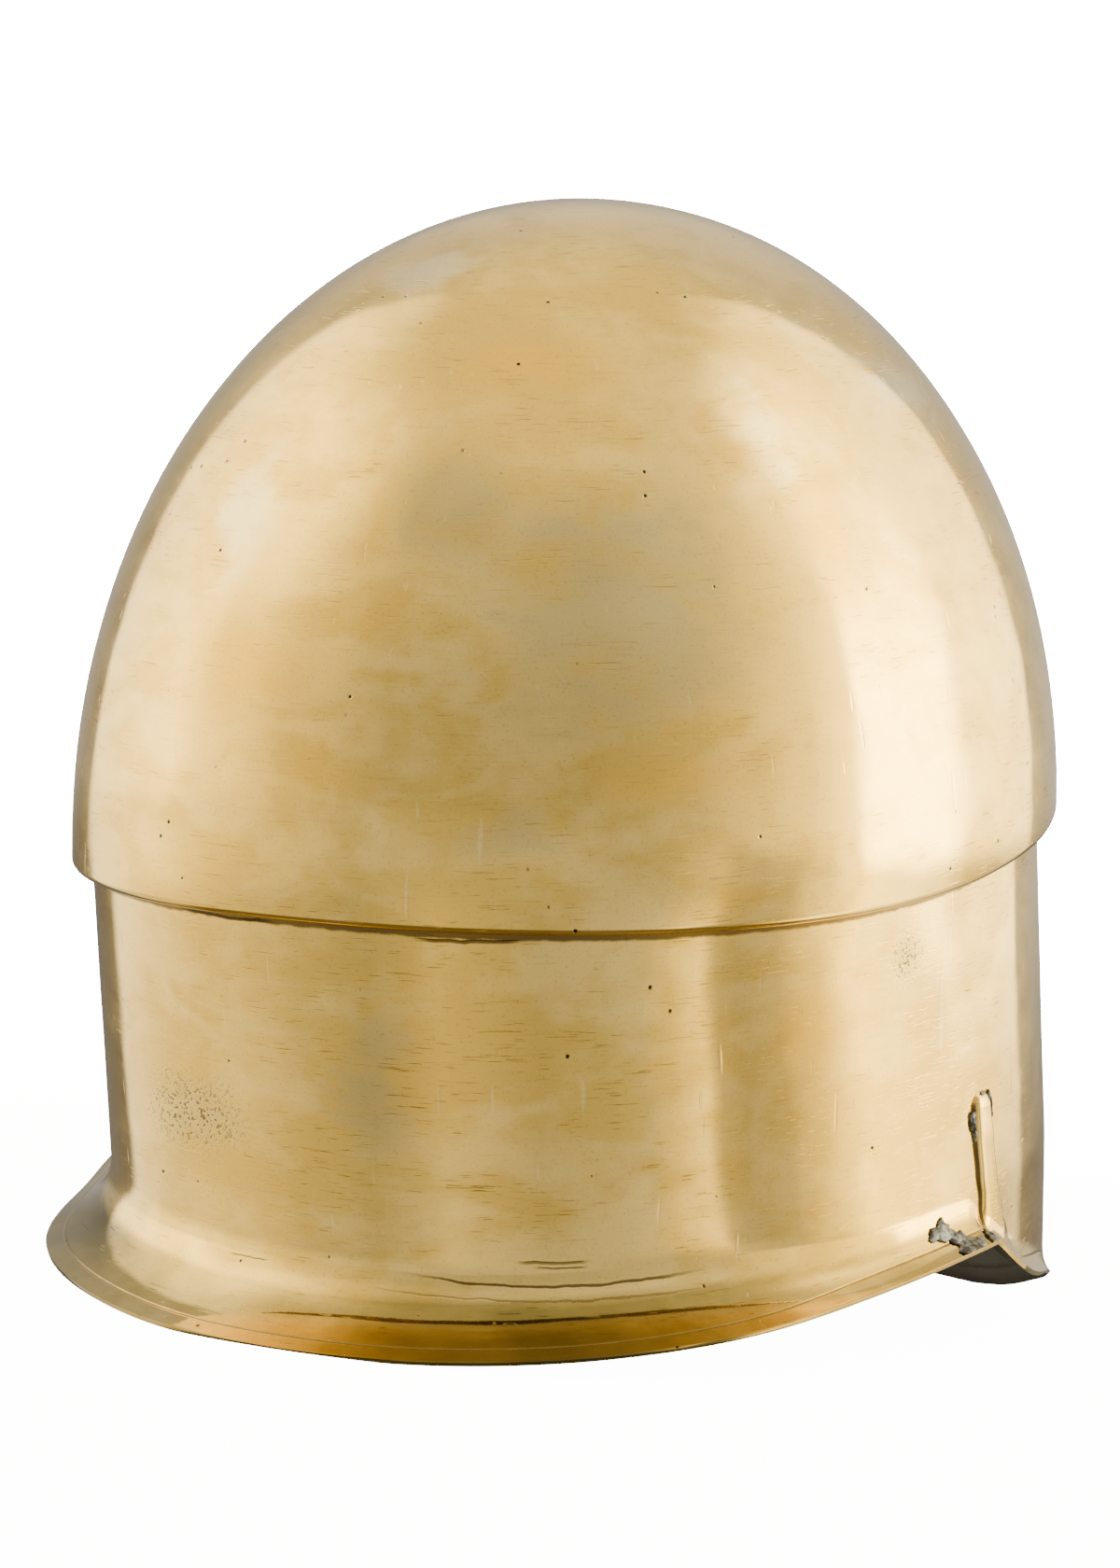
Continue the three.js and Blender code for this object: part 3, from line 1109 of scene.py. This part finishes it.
@dataclass(frozen=True)
class FaceOpening:
    """The opening's outline as seen from the front, on one side of the middle."""

    gap_bottom: float = 9
    gap_top: float = 19
    gap_height: float = 66
    eye_outer: Pair = (70, 80)
    eye_low: Pair = (46, 66)
    eye_high: Pair = (36, 112)
    eye_inner: Pair = (10.5, 95)
    nasal_half: float = 10.5
    nasal_foot: float = 30
    nasal_tip: float = 18
    below: float = -53.5
    steps: int = 20

    def half(self) -> list[Pair]:
        """One side's outline, from the gap's foot round the eye to the nasal's tip."""
        f = self
        corner = (f.gap_top, f.gap_height)
        runs = [
            ((f.gap_bottom, f.below), (f.gap_top, f.nasal_tip), (f.gap_top, f.gap_height - 8)),
            ((f.gap_top, f.gap_height - 8), corner, (f.gap_top + 8, f.gap_height)),
            ((f.gap_top + 8, f.gap_height), f.eye_low, f.eye_outer),
            (f.eye_outer, f.eye_high, f.eye_inner),
            (
                f.eye_inner,
                (f.nasal_half - 3, (f.eye_inner[1] + f.nasal_foot) / 2),
                (f.nasal_half, f.nasal_foot),
            ),
            ((f.nasal_half, f.nasal_foot), (f.nasal_half * 0.7, f.nasal_tip), (0, f.nasal_tip)),
        ]
        made = [(f.gap_bottom, f.below)]
        for start, pull, end in runs:
            for i in range(1, f.steps + 1):
                t = i / f.steps
                made.append(
                    tuple(
                        (1 - t) ** 2 * a + 2 * t * (1 - t) * b + t * t * c
                        for a, b, c in zip(start, pull, end)
                    )
                )
        return made

    def outline(self) -> list[Pair]:
        """Both sides' outline, closed below the gap."""
        right = self.half()
        left = [(-x, z) for x, z in reversed(right[:-1])]
        return right + left


@dataclass
class SolderedDart:
    """A raised strip above each notch that fans out into a lobe on the cheekpiece."""

    form: HelmetForm
    finish: Finish
    name: str = "soldered_dart"
    top: float = 43
    rows: tuple[tuple[float, float, float, float], ...] = (
        (0.0, 85.5, 87.0, 0.4),
        (0.02, 84.8, 87.9, 1.1),
        (0.08, 84.3, 88.6, 1.6),
        (0.3, 84.4, 89.1, 1.7),
        (0.55, 84.9, 89.7, 1.6),
        (0.7, 85.3, 91.2, 1.5),
        (0.82, 85.3, 93.4, 1.5),
        (0.92, 84.9, 96.6, 1.2),
        (1.0, 84.7, 98.6, 0.6),
    )
    across: int = 28
    down: int = 72
    reach: float = 0.985
    sunk: float = 0.3
    wall: float = 0.6
    crease: float = 0.85
    crease_fade: float = 0.07
    crease_start: float = 0.12
    # Darkening along the back crease, a dark seam with painted shade, and painted shade along the
    # front edge.
    crease_soil: float = 0.9
    front_crease: float = 0.88
    front_fade: float = 0.08
    front_soil: float = 0.55
    back_power: float = 6.0
    front_power: float = 3.5
    top_fade: float = 0.03
    foot_fade: float = 0.05
    sharp: float = 60

    def row(self, down: float) -> Triple:
        """The strip's back angle, front angle and raise at a share of the way down."""
        for start, end in zip(self.rows, self.rows[1:]):
            if down <= end[0]:
                share = smooth((down - start[0]) / (end[0] - start[0]))
                return tuple(lerp(a, b, share) for a, b in zip(start[1:], end[1:]))
        return self.rows[-1][1:]

    def point(self, angle: float, down: float, out: float) -> Vector:
        """A point over the wall and the flare, at a share of the way down to the rim."""
        edge = self.form.edge(angle)
        foot = edge.height + edge.depth
        share = (self.top - foot) / (self.top - edge.height)
        if down > share:
            return self.form.flare(angle, (down - share) / (1 - share), -out)
        height = lerp(self.top, edge.height, down)
        return self.form.at(angle, self.form.wall_inset(angle, height) - out, height)

    def build(self, stand: Stand, side: Side) -> bpy.types.Object:
        """Makes one strip.

        Args:
            stand: The stand it leans on.
            side: The side it is on.

        Returns:
            The finished piece.
        """
        bm = bmesh.new()
        bmesh.ops.create_grid(bm, x_segments=self.across, y_segments=self.down, size=1)
        soil = bm.verts.layers.float.new("soil")
        for vert in bm.verts:
            across, down = vert.co.x, (1 - vert.co.y) / 2
            crease = smooth((-across - self.crease) / self.crease_fade)
            crease *= smooth(down / self.crease_start)
            front = smooth((across - self.front_crease) / self.front_fade)
            # A dark seam with painted shade in the back crease, and painted shade along the front
            # edge.
            vert[soil] = self.crease_soil * crease + self.front_soil * front
            back, front, lift = self.row(down * self.reach)
            out = lift * (1 - abs(across) ** (self.back_power if across < 0 else self.front_power))
            ends = smooth(down / self.top_fade) * smooth((1 - down) / self.foot_fade)
            angle = side.value * math.radians(lerp(back, front, (across + 1) / 2))
            vert.co = self.point(angle, down * self.reach, out * ends - self.sunk)
        bmesh.ops.recalc_face_normals(bm, faces=bm.faces)
        middle = bm.faces[len(bm.faces) // 2]
        if middle.normal.x * side.value > 0:
            bmesh.ops.reverse_faces(bm, faces=bm.faces)
        made = new_object(f"{self.name}_{side.name.lower()}", bm, [self.finish])
        wall = made.modifiers.new("wall", "SOLIDIFY")
        wall.thickness = self.wall
        wall.offset = -1
        settle(made, self.sharp)
        set_down(made, stand)
        return made


@dataclass(frozen=True)
class Lump:
    """One lump of solder: its angle, its height above the rim, its size and its lift, in mm."""

    angle: float
    height: float
    width: float
    tall: float
    lift: float
    slant: float = 0.0


@dataclass
class SolderLumps:
    """Grey solder left beside a dart, in ragged flat lumps."""

    form: HelmetForm
    finish: Finish
    name: str = "solder_lumps"
    rings: int = 9
    segments: int = 26
    samples: int = 16
    sharp: float = 60
    ragged: Pair = (0.7, 1.6)
    jagged: Pair = (0.3, 5)
    lumpy: Pair = (0.5, 3)
    lumps: tuple[Lump, ...] = (
        Lump(75.6, 12.6, 8.5, 4.6, 0.7, 0.25),
        Lump(77.9, 10.6, 5.2, 3.4, 0.5, -0.2),
        Lump(78.6, 8.6, 9.5, 3.2, 0.6, 0.2),
        Lump(82.6, 9.2, 3.4, 2.6, 0.5, 0.4),
        Lump(84.1, 36.4, 2.2, 5.6, 0.7, 0.0),
        Lump(84.6, 33.0, 1.5, 3.6, 0.6, 0.0),
        Lump(88.4, 38.0, 1.6, 6.8, 0.7, 0.0),
        Lump(86.4, 42.4, 3.4, 1.2, 0.6, 0.0),
        Lump(90.4, 9.5, 2.2, 2.0, 0.5, 0.0),
    )

    @staticmethod
    def rough(x: float, y: float, seed: float, depth: float, scale: float) -> float:
        """How far a lump swells, or its edge wanders, at a point of it."""
        return depth * noise.noise(Vector((x * scale, y * scale, seed)))

    def outside(self, angle: float, height: float, out: float) -> Vector:
        """A point off the outside surface at an angle and height, in radians and mm."""
        drop = Drop(self.form, angle, self.samples)
        after = next((i for i, point in enumerate(drop.points) if point.z <= height), -1)
        high, low = drop.points[after - 1], drop.points[after]
        share = (high.z - height) / max(high.z - low.z, 1e-6)
        point = high.lerp(low, min(max(share, 0.0), 1.0))
        down = (low - high).normalized()
        sideways = Vector((-math.cos(angle), -math.sin(angle), 0))
        return point + down.cross(sideways).normalized() * out

    def build(self, stand: Stand, side: Side) -> bpy.types.Object:
        """Makes one side's lumps.

        Args:
            stand: The stand they lean on.
            side: The side it is on.

        Returns:
            The finished piece.
        """
        bm = bmesh.new()
        for lump in self.lumps:
            around = bmesh.ops.create_uvsphere(
                bm, u_segments=self.segments, v_segments=self.rings, radius=1
            )
            middle = math.radians(lump.angle)
            reach = self.form.at(middle, 0, 0).length
            for vert in around["verts"]:
                x, y, z = vert.co
                ragged = 1 + self.rough(x, y, lump.angle, *self.ragged)
                ragged += self.rough(x, y, lump.angle, *self.jagged)
                aside = (x * ragged + lump.slant * y) * lump.width / 2
                rise = lump.height + y * ragged * lump.tall / 2
                lumpy = 1 + self.rough(x, y, lump.height, *self.lumpy)
                at = middle + aside / reach
                vert.co = self.outside(side.value * at, rise, z * lump.lift * lumpy)
        bmesh.ops.recalc_face_normals(bm, faces=bm.faces)
        made = new_object(f"{self.name}_{side.name.lower()}", bm, [self.finish])
        settle(made, self.sharp)
        set_down(made, stand)
        return made


# ---- Studio ---------------------------------------------------------------------------------


@dataclass(frozen=True)
class Studio:
    """A plain pale floor, a room of soft light and the camera."""

    view_azimuth: float = 27.75
    view_elevation: float = 9.24
    view_distance: float = 1197.8
    view_right: float = -4.70
    view_up: float = 108.33
    lens: float = 105.716
    sensor: float = 36
    floor_size: float = 12.0

    def camera(self, stand: Stand) -> None:
        """Adds the camera, set up beside the upright helmet and leaned with it."""
        azimuth, elevation = math.radians(self.view_azimuth), math.radians(self.view_elevation)
        back = Vector(
            (
                -math.sin(azimuth) * math.cos(elevation),
                math.cos(azimuth) * math.cos(elevation),
                math.sin(elevation),
            )
        )
        right = (-back).cross(Vector((0, 0, 1))).normalized()
        up = right.cross(-back)
        place = right * self.view_right + up * self.view_up + back * self.view_distance
        turned = Matrix([stand.direction(way) for way in (right, up, back)]).transposed()
        data = bpy.data.cameras.new("camera")
        data.sensor_fit = "VERTICAL"
        data.sensor_height = self.sensor
        data.lens = self.lens
        made = bpy.data.objects.new("camera", data)
        made.matrix_world = Matrix.Translation(stand.matrix @ place) @ turned.to_4x4()
        bpy.context.scene.collection.objects.link(made)
        bpy.context.scene.camera = made

    def floor(self) -> None:
        """Adds the plain pale floor, which the polished metal doesn't mirror."""
        bm = bmesh.new()
        bmesh.ops.create_circle(bm, cap_ends=True, segments=64, radius=self.floor_size)
        made = new_object("floor", bm, [PaleFloor()])
        made.visible_glossy = False

    def room(self) -> None:
        """Fills the room with soft light."""
        made = bpy.data.worlds.new("room")
        bpy.context.scene.world = made
        RoomLight(self.view_azimuth).dress(Nodes(made))


@dataclass(frozen=True)
class PaleFloor(Finish):
    """A plain pale floor."""

    name: str = "pale_floor"
    tone: Triple = (0.80, 0.79, 0.78)
    near_glow: float = 14.0
    far_glow: float = 40.0

    def dress(self, nodes: Nodes) -> None:
        """Builds the nodes: a matt white, lifted where it is seen directly."""
        here = nodes.add("TexCoord", {}).outputs["Object"]
        away = nodes.add("VectorMath", {"operation": "LENGTH"}, here)
        far = nodes.value(away, "Value").between(0.35, 1.4)
        seen = nodes.value(nodes.add("LightPath", {}), "Is Camera Ray")
        glow = seen * lerp(self.near_glow / self.far_glow, 1.0, far)
        nodes.surface(
            Base_Color=self.tone,
            Roughness=0.9,
            Emission_Color=nodes.mix(glow, (0.0, 0.0, 0.0), (1.0, 1.0, 1.0)),
            Emission_Strength=self.far_glow,
        )


@dataclass(frozen=True)
class Ray:
    """The light from one side: its angle round from the camera, brightness and warmth."""

    angle: float
    level: float
    warmth: float = 0.0


@dataclass(frozen=True)
class RoomLight:
    """Soft light round the helmet: two tall panels, a darker room and a plain ceiling.

    Each band gives the light from the left (negative angles) round to the right, at eye
    level, above it, just below it, or lower still. Each pair of heights, in degrees, says where
    the next band, the ceiling or the dark underneath begins and where it has taken over.
    """

    view_azimuth: float
    neutral: Triple = (1.0, 0.94, 0.82)
    warm: Triple = (1.0, 0.84, 0.42)
    most: float = 16.0
    level_band: tuple[Ray, ...] = (
        *(Ray(-180, 0.6), Ray(-143, 0.5), Ray(-140, 3.2, 0.4), Ray(-118, 4.2, 0.5)),
        *(Ray(-98, 4.8, 0.7), Ray(-88, 3.2, 1), Ray(-74, 2.5, 1), Ray(-62, 1.5, 1)),
        *(Ray(-48, 1.0, 0.6), Ray(-36, 0.75), Ray(-10, 0.64), Ray(15, 0.62), Ray(34, 0.8)),
        *(Ray(48, 1.05, 0.4), Ray(60, 1.5, 0.9), Ray(76, 2.5, 1), Ray(88, 4.6, 1)),
        *(Ray(91, 13.5, 0.6), Ray(113, 13.0, 0.6), Ray(119, 6.0, 0.8), Ray(140, 5.0, 0.6)),
        *(Ray(142, 0.95), Ray(165, 0.8), Ray(180, 0.6)),
    )
    upper_band: tuple[Ray, ...] = (
        *(Ray(-180, 1.2), Ray(-143, 0.95), Ray(-140, 3.3, 0.5), Ray(-115, 4.3, 0.7)),
        *(Ray(-95, 4.5, 0.8), Ray(-75, 3.7, 1), Ray(-60, 1.9, 1), Ray(-45, 1.1, 0.6)),
        *(Ray(-20, 0.88), Ray(20, 0.90), Ray(40, 1.15), Ray(55, 1.3, 0.4), Ray(70, 1.8, 0.9)),
        *(Ray(84, 3.3, 1), Ray(95, 6.4, 0.9), Ray(108, 6.0, 0.8), Ray(125, 4.2, 0.8)),
        *(Ray(140, 3.5, 0.5), Ray(142, 1.15), Ray(165, 1.1), Ray(180, 1.2)),
    )
    sill_band: tuple[Ray, ...] = (
        *(Ray(-180, 0.2), Ray(-144, 0.25), Ray(-140, 2.6, 0.3), Ray(-105, 3.3, 0.6)),
        *(Ray(-82, 2.3, 0.8), Ray(-62, 1.45, 0.7), Ray(-45, 0.95), Ray(-20, 0.85)),
        *(Ray(10, 0.80), Ray(28, 0.72), Ray(40, 0.85), Ray(54, 1.5, 1), Ray(58, 1.0, 0.5)),
        *(Ray(66, 0.9, 0.3), Ray(73, 1.1, 0.5), Ray(82, 2.4, 1), Ray(91, 5.6, 1)),
        *(Ray(106, 4.6, 0.8), Ray(113, 3.6, 0.8), Ray(121, 1.8, 0.6), Ray(129, 1.2, 0.4)),
        *(Ray(141, 1.7, 0.4), Ray(143, 0.3), Ray(180, 0.25)),
    )
    low_band: tuple[Ray, ...] = (
        *(Ray(-180, 0.2), Ray(-145, 0.2), Ray(-139, 1.5, 0.3), Ray(-105, 1.7, 0.6)),
        *(Ray(-82, 1.45, 0.6), Ray(-62, 0.95, 0.3), Ray(-45, 0.70), Ray(-34, 0.85, 0.3)),
        *(Ray(-22, 1.15, 0.5), Ray(-8, 0.95, 0.3), Ray(8, 0.70), Ray(28, 0.80), Ray(38, 1.0)),
        *(Ray(45, 1.5, 0.9), Ray(54, 2.8, 1), Ray(57, 0.9, 0.5), Ray(63, 0.62)),
        *(Ray(73, 0.8, 0.5), Ray(82, 2.0, 1), Ray(91, 5.4, 1), Ray(106, 3.8, 0.8)),
        *(Ray(121, 1.8, 0.6), Ray(141, 1.7, 0.4), Ray(143, 0.3), Ray(180, 0.2)),
    )
    ceiling: Ray = Ray(0, 1.6, 0.6)
    under: Ray = Ray(0, 0.22, 1.0)
    upper_from: Pair = (12, 34)
    sill_from: Pair = (0, -5)
    low_from: Pair = (-8, -22)
    ceiling_from: Pair = (42, 66)
    under_from: Pair = (-32, -46)
    backdrop: float = 40.0

    def colour(self, level: float, warmth: float) -> Triple:
        """The colour of a light of this level and warmth."""
        return tuple(level * lerp(a, b, warmth) for a, b in zip(self.neutral, self.warm))

    def ramp(self, nodes: Nodes, turn: Value, band: Sequence[Ray]) -> bpy.types.NodeSocket:
        """The light of one band, as a share of the most, at a turn from 0 to 1."""
        stops = [
            ((ray.angle + 180) / 360, self.colour(ray.level / self.most, ray.warmth))
            for ray in band
        ]
        return nodes.add("ValToRGB", {"stops": stops}, turn).outputs[0]

    def dress(self, nodes: Nodes) -> None:
        """Builds the room's nodes: its bands by height, and plain white behind everything."""
        way = nodes.add("TexCoord", {}).outputs["Generated"]
        aim = math.radians(self.view_azimuth)
        turned = nodes.add("VectorRotate", {"rotation_type": "Z_AXIS"}, Vector=way, Angle=-aim)
        angle, up = nodes.polar(turned.outputs[0])
        turn = angle / math.tau + 0.5
        height = nodes.value(nodes.add("Math", {"operation": "ARCSINE"}, up)) * DEGREES
        lit = self.ramp(nodes, turn, self.level_band)
        bands = (
            (self.upper_from, self.ramp(nodes, turn, self.upper_band)),
            (self.sill_from, self.ramp(nodes, turn, self.sill_band)),
            (self.low_from, self.ramp(nodes, turn, self.low_band)),
            (self.ceiling_from, self.colour(self.ceiling.level / self.most, self.ceiling.warmth)),
            (self.under_from, self.colour(self.under.level / self.most, self.under.warmth)),
        )
        for (start, end), light in bands:
            lit = nodes.mix(height.between(start, end), lit, light)
        room = nodes.add("Background", {}, Color=lit, Strength=self.most)
        plain = nodes.add("Background", {}, Color=(1.0, 1.0, 1.0), Strength=self.backdrop)
        seen = nodes.value(nodes.add("LightPath", {}), "Is Camera Ray")
        mixed = nodes.add("MixShader", {}, seen, room.outputs[0], plain.outputs[0])
        nodes.add("OutputWorld", {}, Surface=mixed.outputs[0])


# ---- Assembly -------------------------------------------------------------------------------


def main() -> None:
    """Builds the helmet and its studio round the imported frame."""
    logging.basicConfig(level=logging.INFO, format="%(message)s")
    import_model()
    form = HelmetForm()
    rim = [form.flare(math.radians(a), 1) for a in range(0, 181)]
    bowl = [form.crown(math.radians(a), b) for a in range(0, 181) for b in range(0, 90)]
    stand = Stand.under(form, rim + bowl)
    brass = PolishedBrass(stand)
    shell = BrassShell(form, (brass, BlackenedBrass())).build(stand)
    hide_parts(SHELL_NODE)
    pieces = [shell]
    darts = SolderedDart(form, brass)
    pieces += [darts.build(stand, side) for side in Side]
    solder = SolderLumps(form, GreySolder())
    pieces += [solder.build(stand, side) for side in Side]
    for piece in pieces:
        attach(piece, BODY)
        log.info("%s: %d faces", piece.name, len(piece.data.polygons))
    studio = Studio()
    studio.camera(stand)
    studio.floor()
    studio.room()


if __name__ == "__main__":
    main()
